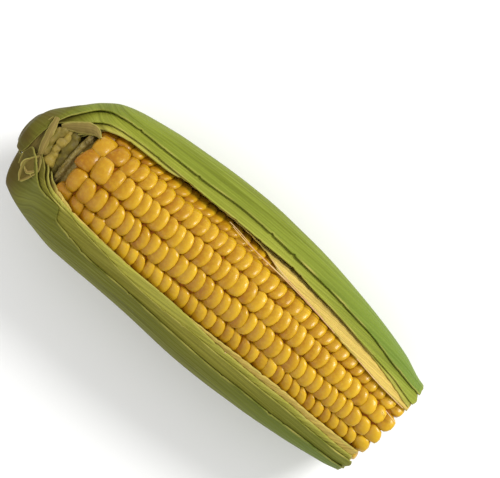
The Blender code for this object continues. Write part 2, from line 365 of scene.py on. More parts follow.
def kernel_skin(colours):
    """Sweetcorn skin, grown taut over milky flesh: light sinks in, and small highlights sit on its crown."""
    material, tree = new_material("kernel_skin")
    if not tree:
        return material
    # Each kernel shades from flank to crown, partly its own colour and partly painted light and shade,
    # and has its own ripeness.
    tones = []
    for name, low, high in (
        ("crown", colours.kernel_flank_and_shade, colours.kernel_crown),
        ("tone", colours.kernel_ripe, colours.kernel_pale),
    ):
        share = add_node(tree, "Attribute", {}, attribute_name=name)
        blend = {SHARE: (share, "Fac"), FIRST: low, SECOND: high}
        tones.append(add_node(tree, "Mix", blend, data_type="RGBA"))
    blend = {SHARE: 0.3, FIRST: (tones[0], MIXED), SECOND: (tones[1], MIXED)}
    skin = add_node(tree, "Mix", blend, data_type="RGBA")
    # Starchy clouds under the skin, about 1.5 mm wide, and dimples of the drying skin, 0.8 mm apart.
    spot = add_node(tree, "TexCoord", {})
    clouds, dimples = (
        add_node(tree, "TexNoise", {"Vector": (spot, "Object"), "Scale": 1 / (size * MM), "Detail": 2.0})
        for size in (1.5, 0.8)
    )
    cloudy = add_node(
        tree, "MapRange", {"Value": (clouds, "Fac"), "From Min": 0.45, "From Max": 0.8, "To Max": 0.22}
    )
    blend = {SHARE: (cloudy, "Result"), FIRST: (skin, MIXED), SECOND: colours.kernel_pale}
    skin = add_node(tree, "Mix", blend, data_type="RGBA")
    bump = add_node(tree, "Bump", {"Height": (dimples, "Fac"), "Strength": 0.22, "Distance": 0.3 * MM})
    set_inputs(tree, tree.nodes["Principled BSDF"], {
        "Base Color": (skin, MIXED),
        "Roughness": 0.28,
        "IOR": 1.4,
        "Specular IOR Level": 0.36,
        "Subsurface Weight": 0.12,
        "Subsurface Radius": (1.0, 0.5, 0.1),
        "Subsurface Scale": 1.2 * MM,
        "Coat Weight": 0.06,
        "Coat Roughness": 0.1,
        "Normal": (bump, "Normal"),
    })
    return material


def leaf_skin(name, base, colours, rib_spacing):
    """Fresh maize leaf: satin, with parallel veins, streaked lengthwise, browner where it joins the stalk."""
    material, tree = new_material(name)
    if not tree:
        return material
    surface = add_node(tree, "UVMap", {}, uv_map="leaf")
    light = tuple(min(1, c * 1.3 + 0.015) for c in base)
    dark = tuple(c * 0.66 for c in base)
    # Streaks about 45 mm long and 0.8 mm wide, and broad bands about 60 mm long and 7 mm wide.
    grains, layers = [], []
    for long, wide, detail, low, high in ((45, 0.8, 4.0, 0.36, 0.64), (60, 7, 3.0, 0.32, 0.68)):
        stretched = {"Vector": (surface, "UV"), "Scale": (1 / (long * MM), 1 / (wide * MM), 1.0)}
        spot = add_node(tree, "Mapping", stretched)
        grain = add_node(tree, "TexNoise", {"Vector": (spot, "Vector"), "Scale": 1.0, "Detail": detail})
        share = add_node(tree, "MapRange", {"Value": (grain, "Fac"), "From Min": low, "From Max": high})
        blend = {SHARE: (share, "Result"), FIRST: dark, SECOND: light}
        grains.append(grain)
        layers.append(add_node(tree, "Mix", blend, data_type="RGBA"))
    streaks = grains[0]
    blend = {SHARE: 0.62, FIRST: (layers[1], MIXED), SECOND: (layers[0], MIXED)}
    skin = add_node(tree, "Mix", blend, data_type="RGBA")
    # Greener towards the tip, browner at the root, paler where the blade cut it.
    for attribute, tint in (
        ("green", colours.husk_tip), ("root", colours.husk_brown), ("rim", colours.husk_rim)
    ):
        share = add_node(tree, "Attribute", {}, attribute_name=attribute)
        blend = {SHARE: (share, "Fac"), FIRST: (skin, MIXED), SECOND: tint}
        skin = add_node(tree, "Mix", blend, data_type="RGBA")
    # Small dry flecks, a few tenths of a millimetre across.
    fleck_place = add_node(
        tree, "Mapping", {"Vector": (surface, "UV"), "Scale": (1 / (3.0 * MM), 1 / (1.1 * MM), 1.0)}
    )
    flecks = add_node(tree, "TexVoronoi", {"Vector": (fleck_place, "Vector"), "Scale": 1.0})
    flecked = add_node(
        tree, "MapRange", {"Value": (flecks, "Distance"), "From Min": 0.1, "From Max": 0.03, "To Max": 0.4}
    )
    blend = {SHARE: (flecked, "Result"), FIRST: (skin, MIXED), SECOND: colours.husk_brown}
    skin = add_node(tree, "Mix", blend, data_type="RGBA")
    # A wave texture repeats every 2 pi / 20 of its scaled coordinate.
    veins = add_node(
        tree, "TexWave",
        {"Vector": (surface, "UV"), "Scale": 2 * math.pi / 20 / rib_spacing, "Distortion": 1.2,
         "Detail": 2.0, "Detail Scale": 0.3}, bands_direction="Y",
    )
    height = add_node(tree, "Math", {0: (veins, "Fac"), 1: (streaks, "Fac")}, operation="ADD")
    bump = add_node(tree, "Bump", {"Height": (height, "Value"), "Strength": 0.35, "Distance": 0.25 * MM})
    set_inputs(tree, tree.nodes["Principled BSDF"], {
        "Base Color": (skin, MIXED),
        "Roughness": 0.55,
        "IOR": 1.42,
        "Specular IOR Level": 0.12,
        "Subsurface Weight": 0.06,
        "Subsurface Radius": (0.6, 1.0, 0.2),
        "Subsurface Scale": 1.0 * MM,
        "Normal": (bump, "Normal"),
    })
    return material


def cob_flesh(colours):
    """Cut maize cob: a spongy pale pith in a woody ring, with chaffy orange sockets between the kernels."""
    material, tree = new_material("cob_flesh")
    if not tree:
        return material
    spot = add_node(tree, "TexCoord", {})
    # Fibres and pores about 0.7 mm across.
    pores = add_node(
        tree, "TexNoise", {"Vector": (spot, "Object"), "Scale": 1 / (0.7 * MM), "Detail": 4.0}
    )
    pored = add_node(tree, "MapRange", {"Value": (pores, "Fac"), "From Min": 0.35, "From Max": 0.65})
    blend = {SHARE: (pored, "Result"), FIRST: colours.cob_wood, SECOND: colours.pith}
    skin = add_node(tree, "Mix", blend, data_type="RGBA")
    for attribute, tint in (("ring", colours.cob_wood), ("chaff", colours.socket)):
        share = add_node(tree, "Attribute", {}, attribute_name=attribute)
        blend = {SHARE: (share, "Fac"), FIRST: (skin, MIXED), SECOND: tint}
        skin = add_node(tree, "Mix", blend, data_type="RGBA")
    bump = add_node(tree, "Bump", {"Height": (pores, "Fac"), "Strength": 0.6, "Distance": 0.4 * MM})
    set_inputs(tree, tree.nodes["Principled BSDF"], {
        "Base Color": (skin, MIXED),
        "Roughness": 0.75,
        "Specular IOR Level": 0.15,
        "Normal": (bump, "Normal"),
    })
    return material


def bud_flesh(name, base, shade):
    """Soft young tissue at the foot of the ear: moist and translucent, mottled where it is bruised."""
    material, tree = new_material(name)
    if not tree:
        return material
    spot = add_node(tree, "TexCoord", {})
    # Bruises about 2.5 mm across, over fibres about 0.6 mm wide.
    bruises, fibres = (
        add_node(tree, "TexNoise", {"Vector": (spot, "Object"), "Scale": 1 / (size * MM), "Detail": 3.0})
        for size in (2.5, 0.6)
    )
    bruised = add_node(tree, "MapRange", {"Value": (bruises, "Fac"), "From Min": 0.4, "From Max": 0.7})
    blend = {SHARE: (bruised, "Result"), FIRST: base, SECOND: shade}
    skin = add_node(tree, "Mix", blend, data_type="RGBA")
    bump = add_node(tree, "Bump", {"Height": (fibres, "Fac"), "Strength": 0.4, "Distance": 0.3 * MM})
    set_inputs(tree, tree.nodes["Principled BSDF"], {
        "Base Color": (skin, MIXED),
        "Roughness": 0.5,
        "IOR": 1.4,
        "Specular IOR Level": 0.3,
        "Subsurface Weight": 0.12,
        "Subsurface Radius": (1.0, 0.8, 0.3),
        "Subsurface Scale": 1.2 * MM,
        "Normal": (bump, "Normal"),
    })
    return material


def dry_silk(colours):
    """Dried maize silk: fine glossy hairs, redder along part of their length."""
    material, tree = new_material("dry_silk")
    if not tree:
        return material
    spot = add_node(tree, "TexCoord", {})
    # Redder and paler stretches about 6 mm long.
    stretches = add_node(
        tree, "TexNoise", {"Vector": (spot, "Object"), "Scale": 1 / (6 * MM), "Detail": 1.0}
    )
    blend = {SHARE: (stretches, "Fac"), FIRST: colours.silk_pale, SECOND: colours.silk}
    hair = add_node(tree, "Mix", blend, data_type="RGBA")
    set_inputs(tree, tree.nodes["Principled BSDF"], {"Base Color": (hair, MIXED), "Roughness": 0.4})
    return material


def matt_board(colours):
    """Painted board: matt, with a faint unevenness of the paint."""
    material, tree = new_material("matt_board")
    if not tree:
        return material
    spot = add_node(tree, "TexCoord", {})
    # Paint texture about 3 mm across.
    paint = add_node(
        tree, "TexNoise", {"Vector": (spot, "Object"), "Scale": 1 / (3 * MM), "Detail": 2.0}
    )
    bump = add_node(tree, "Bump", {"Height": (paint, "Fac"), "Strength": 0.02, "Distance": 0.2 * MM})
    set_inputs(tree, tree.nodes["Principled BSDF"], {
        "Base Color": colours.floor, "Roughness": 0.85, "Normal": (bump, "Normal"),
    })
    return material


# Kernels

# Lengths of a row's first kernels, as shares of the others' length.
FIRST_KERNELS = [1.55, 1.45, 1.2, 1.12, 1.06]
ROW_STARTS = 24.3, 25.3  # of every other row
# Stretches of the ear over which kernels change to and from their shapes at the butt and at the tip.
BUTT_KERNELS, TIP_KERNELS = (26, 50), (152, 170)
ROOT_DEPTH = 1.4  # how far the blank reaches below its waist
ROUNDING = 0.72  # of the blank, from 0 for a cube to 1 for a ball
TIP_CUT, TIP_CUT_SLANT = 171.0, 0.18  # the cut at its middle, and how it falls back to the right
# The rows wind a little round the cob: by these turns at the butt and at the tip, over these stretches.
BUTT_DRIFT, TIP_DRIFT = (3.4, 26, 62), (-3.2, 108, 168)


def kernel_blank():
    """One kernel: a rounded block with a domed crown, 2 wide and 2 long at its waist."""
    deselect_all()
    bpy.ops.mesh.primitive_cube_add(size=2)
    blank = bpy.context.active_object
    bpy.ops.object.mode_set(mode="EDIT")
    bpy.ops.mesh.select_all(action="SELECT")
    bpy.ops.mesh.subdivide(number_cuts=3)
    bpy.ops.transform.tosphere(value=ROUNDING)
    select_faces(blank, lambda middle: middle.z < -0.05)
    bpy.ops.mesh.delete(type="FACE")
    bpy.ops.mesh.select_mode(type="EDGE")
    bpy.ops.mesh.select_all(action="DESELECT")
    bpy.ops.mesh.select_non_manifold()
    bpy.ops.mesh.extrude_region_move(TRANSFORM_OT_translate={"value": (0, 0, -ROOT_DEPTH)})
    bpy.ops.transform.resize(value=(0.7, 0.7, 1))
    bpy.ops.mesh.edge_face_add()
    bpy.ops.mesh.select_all(action="SELECT")
    bpy.ops.mesh.normals_make_consistent(inside=False)
    bpy.ops.object.mode_set(mode="OBJECT")
    reach = max(v.co.x for v in blank.data.vertices)
    top = max(v.co.z for v in blank.data.vertices)
    for v in blank.data.vertices:
        v.co.x /= reach
        v.co.y /= reach
        if v.co.z > 0:
            v.co.z /= top
    return blank


def cut_end(across):
    """Where the slanting cut across the tip stands, this far across the ear."""
    return TIP_CUT - TIP_CUT_SLANT * max(0.0, -across)


def row_end(turn):
    """Where the row at this turn is cut."""
    out = through(CROWNS, EAR_LENGTH)
    return cut_end(out * math.sin(math.radians(turn)) - 1.0)


def kernel_lengths(count, start, end, luck):
    """Lengths of a row's kernels: longest at the butt and at the cut, and each a little different."""
    lengths = []
    for i in range(count):
        share = FIRST_KERNELS[i] if i < len(FIRST_KERNELS) else 1.0
        last = fade(i, count - 5, count - 1)
        varied = 1 + luck.uniform(-0.1, 0.1) * (1 + 1.2 * last)
        lengths.append(share * varied * (1 - 0.08 * fade(i, count * 0.6, count) + 0.3 * last))
    scale = (end - start) / sum(lengths)
    return [one * scale for one in lengths]


def shape_kernel(kernel, along, size_along, turn, luck, lean):
    """Moves one copy of the blank into its place in a row and squeezes it to its own shape."""
    butt, tip = 1 - fade(along, *BUTT_KERNELS), fade(along, *TIP_KERNELS)
    out = through(CROWNS, along)
    crown = out + luck.uniform(-0.3, 0.2) - 1.1 * tip * luck.random() - 0.5 * butt * luck.random()
    width = math.radians(ROW_TURN) * out
    half_long = size_along * (0.66 - 0.1 * butt + 0.04 * tip)
    half_wide = width / 2 * 1.14 * luck.uniform(0.97, 1.05)
    dome = 2.4 - 0.3 * butt + 0.4 * tip
    lean_here = lean * (1 - 0.85 * butt) * (1 - 0.6 * tip) * luck.uniform(0.75, 1.25)
    yaw = math.radians(luck.uniform(-6, 6) * (1 + 2.5 * tip + butt))
    skew = luck.uniform(-0.12, 0.12) * (1 + butt)
    bow = half_long * (0.34 * (1 - butt) * (1 - 0.5 * tip)) * luck.uniform(0.7, 1.3)
    aside = luck.uniform(-0.35, 0.35) * (1 + 2.4 * tip + butt)
    foot = through(CORE, along) - 0.6
    waist = crown - dome
    lump = Vector((luck.uniform(0, 99), luck.uniform(0, 99), 0))  # picks its own uneven outline
    crowns = []
    for v in kernel.data.vertices:
        x, y, z = v.co
        square = 1 + 0.1 * butt * abs(x * y)
        x, y = x * square, y * square
        edge = 1 + 0.1 * noise.noise(Vector((x, y, 0)) * 0.9 + lump)
        lengthways = half_long * x * edge * (1 + skew * y) + bow * (0.45 - y * y)
        sideways = half_wide * y * edge * (1 + 0.5 * skew * x) + aside
        if z >= 0:
            # The crown tips towards the end of the ear, so its far side stands higher.
            height = waist + z * dome - 0.55 * (1 - butt) * z * (1 - x) / 2
        else:
            height = waist + z / ROOT_DEPTH * (waist - foot)
        lengthways += math.tan(lean_here) * (height - crown + 1.2)
        lengthways, sideways = (
            lengthways * math.cos(yaw) - sideways * math.sin(yaw),
            lengthways * math.sin(yaw) + sideways * math.cos(yaw),
        )
        angle = turn + math.degrees(sideways / out)
        v.co = place_turned(along + lengthways, angle, height)
        # The side that leans over the next kernel, towards the tip, and the left side are paler as painted
        # light from the key lamp; the flank low down is darker, partly painted shade, and all is darker
        # towards the butt.
        depth_and_painted_light = fade(z, 0.05, 0.85) * (0.02 + 0.98 * fade(x + 0.45 * y, -0.6, 0.75))
        crowns.append(depth_and_painted_light * (1 - 0.7 * butt))
    mesh = kernel.data
    set_attribute(mesh, "crown", crowns)
    tone = min(1.0, max(0.0, luck.gauss(0.45, 0.26) - 0.4 * butt + 0.3 * fade(along, 100, 170)))
    set_attribute(mesh, "tone", [tone] * len(mesh.vertices))


class CORN_OT_kernels(bpy.types.Operator):
    """Grows the sixteen rows of kernels round the cob"""

    bl_idname = "corn.kernels"
    bl_label = "Kernels"

    def execute(self, context):
        sizes, colours = context.scene.corn_sizes, context.scene.corn_colours
        blank = kernel_blank()
        skin = kernel_skin(colours)
        for row in range(ROWS):
            luck = random.Random(row + 11)
            turn = FIRST_ROW_TURN + ROW_TURN * row
            start = ROW_STARTS[row % 2] + luck.uniform(-0.6, 0.6)
            along = start
            kernels = []
            for size_along in kernel_lengths(sizes.kernels_per_row, start, row_end(turn), luck):
                middle = along + size_along / 2
                along += size_along
                kernel = blank.copy()
                kernel.data = blank.data.copy()
                context.scene.collection.objects.link(kernel)
                drift = 1.1 * noise.noise(Vector((middle * 0.06, row * 3.7, 0)))
                drift += BUTT_DRIFT[0] * (1 - fade(middle, *BUTT_DRIFT[1:]))
                drift += TIP_DRIFT[0] * fade(middle, *TIP_DRIFT[1:])
                shape_kernel(kernel, middle, size_along, turn + drift, luck, sizes.kernel_lean)
                kernels.append(kernel)
            piece = join(kernels, f"kernels_{row + 1:02d}")
            hand_over(piece, skin, "kernel", f"kernel_row_{row + 1:02d}")
        bpy.data.objects.remove(blank)
        return {"FINISHED"}


# Cob

# Places along the ear and distances out from its axis, from the middle of the stalk's cut face to the
# middle of the tip's.
COB_PROFILE = [
    (2.5, 0.0), (2.5, 5.0), (2.6, 7.4), (3.2, 8.0), (8, 8.5), (14, 9.6), (17, 12.2), (18.2, 13.2),
    (19.0, 12.6), (19.9, 12.9), (20.5, 14.6), (21.2, 16.8), (22.3, 17.0), (23.4, 15.4), (25.6, 17.8),
    (29, 20.4), (38, 21.8), (65, 21.6), (90, 21.4), (115, 20.7), (142, 18.9), (160, 17.1), (168.2, 15.8),
    (169.2, 14.8), (169.0, 9.5), (168.8, 8.6), (168.6, 5.5), (168.7, 4.6), (168.7, 0.0),
]
COB_AROUND = 96
BUTT_RIDGE = 21.7  # middle of the ruffled ridge along the ear
CHAFF_STARTS = 25.6
WOODY_RING = 4.6  # distance of the woody ring out from the axis, on the tip's cut face


def cob_shape():
    """The cob, turned from its profile, and ruffled on the ridge round its butt."""
    piece = new_sheet("cob", 4 * (len(COB_PROFILE) - 1), COB_AROUND)
    chaffs, rings = [], []
    for v in piece.data.vertices:
        run = (v.co.x + 1) / 2 * (len(COB_PROFILE) - 1)
        before = min(int(run + 1e-6), len(COB_PROFILE) - 2)
        share = run - before
        (s0, r0), (s1, r1) = COB_PROFILE[before], COB_PROFILE[before + 1]
        along, out = s0 + (s1 - s0) * share, r0 + (r1 - r0) * share
        turn = 180 * v.co.y
        around = Vector((math.sin(math.radians(turn)), math.cos(math.radians(turn)), 0))
        ruffle = noise.noise(around * 12 + Vector((0, 0, along * 1.2)))
        ridge = hump(along, BUTT_RIDGE, 3.0)
        out += ridge * ruffle * 2.0 * min(1.0, out / 6)
        end = cut_end(out * math.sin(math.radians(turn))) - cut_end(0)
        chaffs.append(fade(along, CHAFF_STARTS - 1.5, CHAFF_STARTS + 1) * (1 - fade(along, 168.0, 168.5)))
        rings.append(
            fade(out, WOODY_RING, WOODY_RING + 0.8) if along > 100 else 0.8 + 0.4 * ruffle
        )
        v.co = place_turned(along + end * fade(along, 163, 168), turn, out)
    set_attribute(piece.data, "chaff", chaffs)
    set_attribute(piece.data, "ring", rings)
    face_outward(piece, weld=True)
    return piece


class CORN_OT_cob(bpy.types.Operator):
    """Turns the cob inside the kernels, with its cut stalk and cut tip"""

    bl_idname = "corn.cob"
    bl_label = "Cob"

    def execute(self, context):
        hand_over(cob_shape(), cob_flesh(context.scene.corn_colours), "cob", "cob_core")
        return {"FINISHED"}


# Husk


class Leaf:
    """One husk leaf: where its cut edge and its margin run, and how far out of the kernels it stands."""

    def __init__(self, side, root, tip, rise, edge, margin, rest, spread, hug, finish):
        self.side = side  # +1 on the left (+Y), -1 on the right
        self.root = root  # where it leaves the stalk, along the ear
        self.tip = tip
        self.rise = rise  # how far along the ear it takes to swell out to its place
        self.edge = edge  # turn of the edge at the opening
        self.margin = margin  # turn of the edge hidden on the far side
        self.rest = rest  # how far off the kernels its outer face lies near the opening
        self.spread = spread  # shares of the husk's spare room that it takes at the side and below
        self.hug = hug  # how far its edge bends down onto what it lies on
        self.finish = finish
        self.two_edged = finish in ("third", "inner")  # it lies open along both sides

    def swell(self, along):
        return math.sin(math.acos(1 - min(1.0, max(0.0, along - self.root) / self.rise)))

    def point(self, along, turn, lift=0.0):
        """A point of the leaf's outer face, or lifted this far off it."""
        angle = math.radians(turn)
        own_turn = (turn + 180) % 360 - 180  # the same place as an angle from -180 to 180
        on_left = (own_turn >= 0) == (self.side > 0)
        width = through(LEFT_WIDTH if on_left else RIGHT_WIDTH, along)
        above = through(ABOVE, along)
        at_side, below = self.spread
        if abs(own_turn) <= 90:
            reach = above + (width - above) * fade(abs(own_turn), SIDE_STARTS, 90)
            spread = at_side
        else:
            reach = 1 / math.hypot(math.sin(angle) / width, math.cos(angle) / through(BELOW, along))
            spread = at_side + (below - at_side) * fade(abs(own_turn), 90, 140)
        crown = through(CROWNS, along)
        room = self.rest - LEAF_ROOT_LIFT + (reach - crown - HUSK_THICKNESS) * spread
        out = crown + LEAF_ROOT_LIFT + room * self.swell(along) + lift
        spot = place_turned(along, self.side * turn, out)
        spot.z = max(spot.z, 0.0)  # it lies flat where it rests
        return spot


# Each pair of numbers is a place along the ear and a turn.
LEAVES = {
    "outer_husk_left": Leaf(
        1, 2.6, 173.4, 3.0,
        [(2.6, -40), (7.4, -36), (9.1, -20), (10, 10), (11, 36), (12, 50), (14.6, 61), (18.2, 68),
         (21.4, 67), (25.2, 64), (36, 61), (50, 60.2), (87, 62.2), (105, 61), (142, 60), (160, 56),
         (173.5, 56.5)],
        [(2.6, 192), (40, 200), (100, 198), (140, 190), (173.5, 182)],
        4.1, (1.0, 1.0), 0.42, "outer",
    ),
    "outer_husk_right": Leaf(
        -1, 4.9, 168.6, 3.0,
        [(4.9, 44), (7.6, 40), (9.3, 24), (10.4, 14), (12, 16), (15, 25.5), (16.2, 30), (17.3, 34),
         (19.8, 36), (24, 33.2), (29.6, 31.8), (31.8, 43), (37.6, 46.4), (50, 53.4), (69, 56), (105, 60.5),
         (142, 63), (160, 67), (168, 70)],
        [(4.9, 196), (40, 202), (100, 200), (140, 196), (168, 192)],
        3.6, (1.0, 0.67), 0.4, "outer_right_shaded",
    ),
    "second_husk_left": Leaf(
        1, 6.6, 173.2, 8.0,
        [(6.6, -30), (8.2, 5), (9.9, 38), (12.1, 45.5), (15.9, 51.6), (19.2, 52.7), (22.6, 53.9),
         (28.4, 53.7), (50, 54.1), (69, 53.9), (87, 54.5), (105, 55), (124, 53), (142, 49.5), (160, 47.5),
         (173, 43)],
        [(6.6, 192), (40, 202), (100, 202), (173, 198)],
        3.0, (0.84, 0.56), 0.8, "second",
    ),
    "second_husk_right": Leaf(
        -1, 9.2, 169.6, 8.0,
        [(9.2, 6), (12, 11), (15, 16), (17.4, 21.5), (18.9, 28), (21.8, 31.2), (34, 31.5), (38, 33.6),
         (50, 39.2), (69, 46.4), (87, 48), (105, 48.5), (142, 51), (168, 55.5)],
        [(9.2, 192), (40, 200), (100, 202), (168, 198)],
        2.5, (0.84, 0.44), 0.3, "second_right_shaded",
    ),
    "third_husk": Leaf(
        1, 12.4, 172.4, 8.0,
        [(12.4, 34), (14.7, 35), (17.7, 35), (20.3, 38), (21.3, 43), (22.6, 48.5), (26.3, 48.8),
         (33.5, 50.6), (50, 52), (69, 62), (87, 66), (105, 66), (124, 62), (142, 52), (160, 44.5),
         (173, 37.5)],
        [(12.4, 348), (15, 345), (18.5, 339.2), (19.7, 334.5), (22.4, 331.6), (26.9, 331.9), (34, 330.2),
         (43, 327.6), (60, 324.4), (87, 322.1), (105, 317), (142, 314.4), (173, 308.5)],
        1.8, (0.6, 0.36), 0.5, "third",
    ),
    "inner_husk": Leaf(
        1, 15.8, 172.8, 6.0,
        [(15.8, 37), (19.2, 42), (21, 47), (24.2, 51.6), (27.6, 53), (60, 63), (80, 63), (93, 58),
         (100, 52.4), (105, 46.6), (124, 41.5), (142, 35.2), (160, 31.2), (173, 34)],
        [(15.8, 343), (19.4, 335.5), (21.5, 334), (24.9, 334.6), (29.7, 333.4), (34, 331), (43, 328),
         (60, 323.5), (80, 319.6), (100, 320.4), (124, 322.3), (142, 320.4), (160, 319), (173, 318)],
        0.85, (0.0, 0.0), 0.15, "inner",
    ),
}

# Base colour of each finish, and how green it turns towards the tip.
# The right-hand finishes are darker copies, as painted shade on the side away from the key lamp.
LEAF_FINISHES = {
    "outer": ("husk_outer", 0.55), "outer_right_shaded": ("husk_shaded", 0.45), "second": ("husk_second", 0.2),
    "second_right_shaded": ("husk_second_shaded", 0.25), "third": ("husk_third", 0.1), "inner": ("husk_cream", 0.0),
}
LEAF_LENGTHWISE, LEAF_ACROSS = 200, 110  # faces of a leaf's sheet
LEAF_TIP_BACK = 0.9  # how far short of their full length the leaves are trimmed
RIGHT_TIP_BACK = 4.2  # how much further back the slanting cut takes the right side of a leaf
KERNEL_PITCH = 4.25  # length of one kernel along its row
KERNEL_PRINTS = 0.22  # how far the kernels show through the thin leaf that lies on them
RIB_RISE = 0.035  # height of a leaf's ribs
RIPPLE = 0.35  # how far a leaf waves out of its place
GREEN_STARTS, GREEN_FULL = 95, 168  # stretch over which the leaves turn greener
UNDERNEATH = 130  # turn from which a leaf lies under the ear, and is pressed smooth


def rib_height(arc, along, spacing, seed):
    """Raised lengthwise ribs, in millimetres, that wander a little and are stronger here and there."""
    wander = noise.noise(Vector((along * 0.02, arc * 0.05, seed))) * 0.8
    strength = 0.5 + noise.noise(Vector((along * 0.01, arc * 0.12, seed + 9)))
    return RIB_RISE * strength * math.cos(2 * math.pi * (arc / spacing + wander))


def ragged(along, seed):
    """How far a cut edge wanders off its line, in degrees: long waves with short nicks on them."""
    wave = noise.noise(Vector((along * 0.07, 3.0, seed))) * 0.8
    nicks = max(0.0, noise.noise(Vector((along * 0.45, 8.0, seed))) - 0.25) * 3.0
    return wave + nicks


def leaf_lift(leaf, along, turn, arc, from_edge, spacing, seed):
    """How far a point of the leaf is lifted off its smooth shape by ribs, ripples and what lies beneath."""
    lift = rib_height(arc, along, spacing, seed) - leaf.hug * (1 - fade(from_edge, 0.5, 7))
    if leaf.finish == "inner":
        rows = math.cos(math.radians((leaf.side * turn - FIRST_ROW_TURN) * ROWS))
        lift += KERNEL_PRINTS * (rows + 0.5 * math.cos(2 * math.pi * along / KERNEL_PITCH))
    if not leaf.two_edged and abs(turn) < UNDERNEATH:
        ripple = noise.noise(Vector((along * 0.035, turn * 0.03, seed + 4)))
        lift += RIPPLE * ripple * fade(from_edge, 4, 14)
    return min(lift, 0.0) if turn > UNDERNEATH else lift


def make_leaf(name, leaf, seed, thickness, rib_spacing):
    """A leaf's sheet follows the ear by formula, which no modelling tool gives, and is then thickened."""
    piece = new_sheet(name, LEAF_LENGTHWISE, LEAF_ACROSS)
    mesh = piece.data
    roots, rims, greens, surface = [], [], [], []
    for v in mesh.vertices:
        run, share = (v.co.x + 1) / 2, (v.co.y + 1) / 2
        if not leaf.two_edged:
            share = share ** 1.35  # finer towards the edge at the opening
        # The cut across the tip is ragged too.
        tip = leaf.tip - LEAF_TIP_BACK + noise.noise(Vector((share * 14, seed, 5))) * 0.9
        if leaf.two_edged:
            tip -= RIGHT_TIP_BACK * fade(share, 0.55, 0.95)
        along = leaf.root + (tip - leaf.root) * run ** 1.35
        start = through(leaf.edge, along) + ragged(along, seed)
        end = through(leaf.margin, along) - (ragged(along, seed + 20) if leaf.two_edged else 0)
        turn = start + (end - start) * share
        out = through(CROWNS, along) + HUSK_THICKNESS
        arc = math.radians(turn) * out
        from_edge = math.radians(turn - start) * out
        if leaf.two_edged:
            from_edge = min(from_edge, math.radians(end - turn) * out)
        v.co = leaf.point(
            along, turn, leaf_lift(leaf, along, turn, arc, from_edge, rib_spacing / MM, seed)
        )
        surface.append((along * MM, arc * MM))
        bruise = noise.noise(Vector((along * 0.1, turn * 0.04, seed + 7)))
        roots.append(min(1.0, (1.0 + 0.4 * bruise) * (1 - fade(along, leaf.root + 3, leaf.root + 14))))
        fresh = max(0.0, min(1.0, 0.3 + 1.1 * noise.noise(Vector((along * 0.12, 1.0, seed + 30)))))
        rims.append(fresh * (1 - fade(from_edge, 0.15, 0.7)) + 0.3 * fade(along, tip - 0.7, tip))
        greens.append(LEAF_FINISHES[leaf.finish][1] * fade(along, GREEN_STARTS, GREEN_FULL))
    layer = mesh.uv_layers[0]
    layer.name = "leaf"
    for loop in mesh.loops:
        layer.data[loop.index].uv = surface[loop.vertex_index]
    for attribute, values in (("root", roots), ("rim", rims), ("green", greens)):
        set_attribute(mesh, attribute, values)
    face_outward(piece)
    middle = mesh.polygons[len(mesh.polygons) // 2]
    outward = middle.center - place(60, 0, 0)
    outward.x = 0
    if middle.normal.dot(outward) < 0:
        mesh.flip_normals()
    apply_modifier(piece, "SOLIDIFY", thickness=thickness, offset=-1, use_quality_normals=True)
    return piece


class CORN_OT_husk(bpy.types.Operator):
    """Wraps the six husk leaves round the ear"""

    bl_idname = "corn.husk"
    bl_label = "Husk"

    def execute(self, context):
        sizes, colours = context.scene.corn_sizes, context.scene.corn_colours
        for seed, (name, leaf) in enumerate(LEAVES.items(), start=1):
            base = getattr(colours, LEAF_FINISHES[leaf.finish][0])
            skin = leaf_skin(leaf.finish + "_leaf", base, colours, sizes.rib_spacing)
            piece = make_leaf(name + "_leaf", leaf, seed, sizes.leaf_thickness, sizes.rib_spacing)
            hand_over(piece, skin, "pale_husk" if leaf.finish == "inner" else "green_husk", name)
        return {"FINISHED"}


# Foot of the ear, where the leaves were cut from the stalk


def ribbon(name, spine, half_widths, thickness, cup, seed, twist, bruise):
    """A curled strip of leaf along a spine of (along, across, up) points, cupped across its width."""
    piece = new_sheet(name, 12 * (len(spine) - 1), 10)
    last = len(spine) - 1
    tracks = [list(enumerate(point[axis] for point in spine)) for axis in range(3)]
    widths = list(enumerate(half_widths))
    rims, layer = [], piece.data.uv_layers[0]
    layer.name = "leaf"
    for loop in piece.data.loops:
        co = piece.data.vertices[loop.vertex_index].co
        layer.data[loop.index].uv = (co.x * 8 * MM, co.y * 3 * MM)
    for v in piece.data.vertices:
        run, side = (v.co.x + 1) / 2 * last, v.co.y
        here, ahead, behind = (
            Vector([through(track, at) for track in tracks])
            for at in (run, min(run + 0.1, last), max(run - 0.1, 0))
        )
        tangent = (ahead - behind).normalized()
        sideways = tangent.cross(Vector((0, 0, 1))).normalized()
        upwards = sideways.cross(tangent)
        angle = math.radians(twist) + 0.3 * noise.noise(Vector((run, 0, seed)))
        flat = sideways * math.cos(angle) + upwards * math.sin(angle)
        normal = upwards * math.cos(angle) - sideways * math.sin(angle)
        half = through(widths, run) * (1 + 0.15 * noise.noise(Vector((run * 2, side * 0.2, seed))))
        spot = here + flat * side * half + normal * cup * half * (1 - side * side)
        spot += normal * 0.15 * noise.noise(Vector((run * 1.5, side * 3, seed + 2)))
        rims.append(0.7 * fade(abs(side), 0.7, 1.0))
        v.co = place_upright(*spot)
    for attribute, values in (("rim", rims), ("root", [bruise] * len(rims)), ("green", [0.0] * len(rims))):
        set_attribute(piece.data, attribute, values)
    top = max(piece.data.polygons, key=lambda face: face.center.z)
    if top.normal.z < 0:
        piece.data.flip_normals()
    apply_modifier(piece, "SOLIDIFY", thickness=thickness, offset=-1, use_even_offset=True)
    return piece


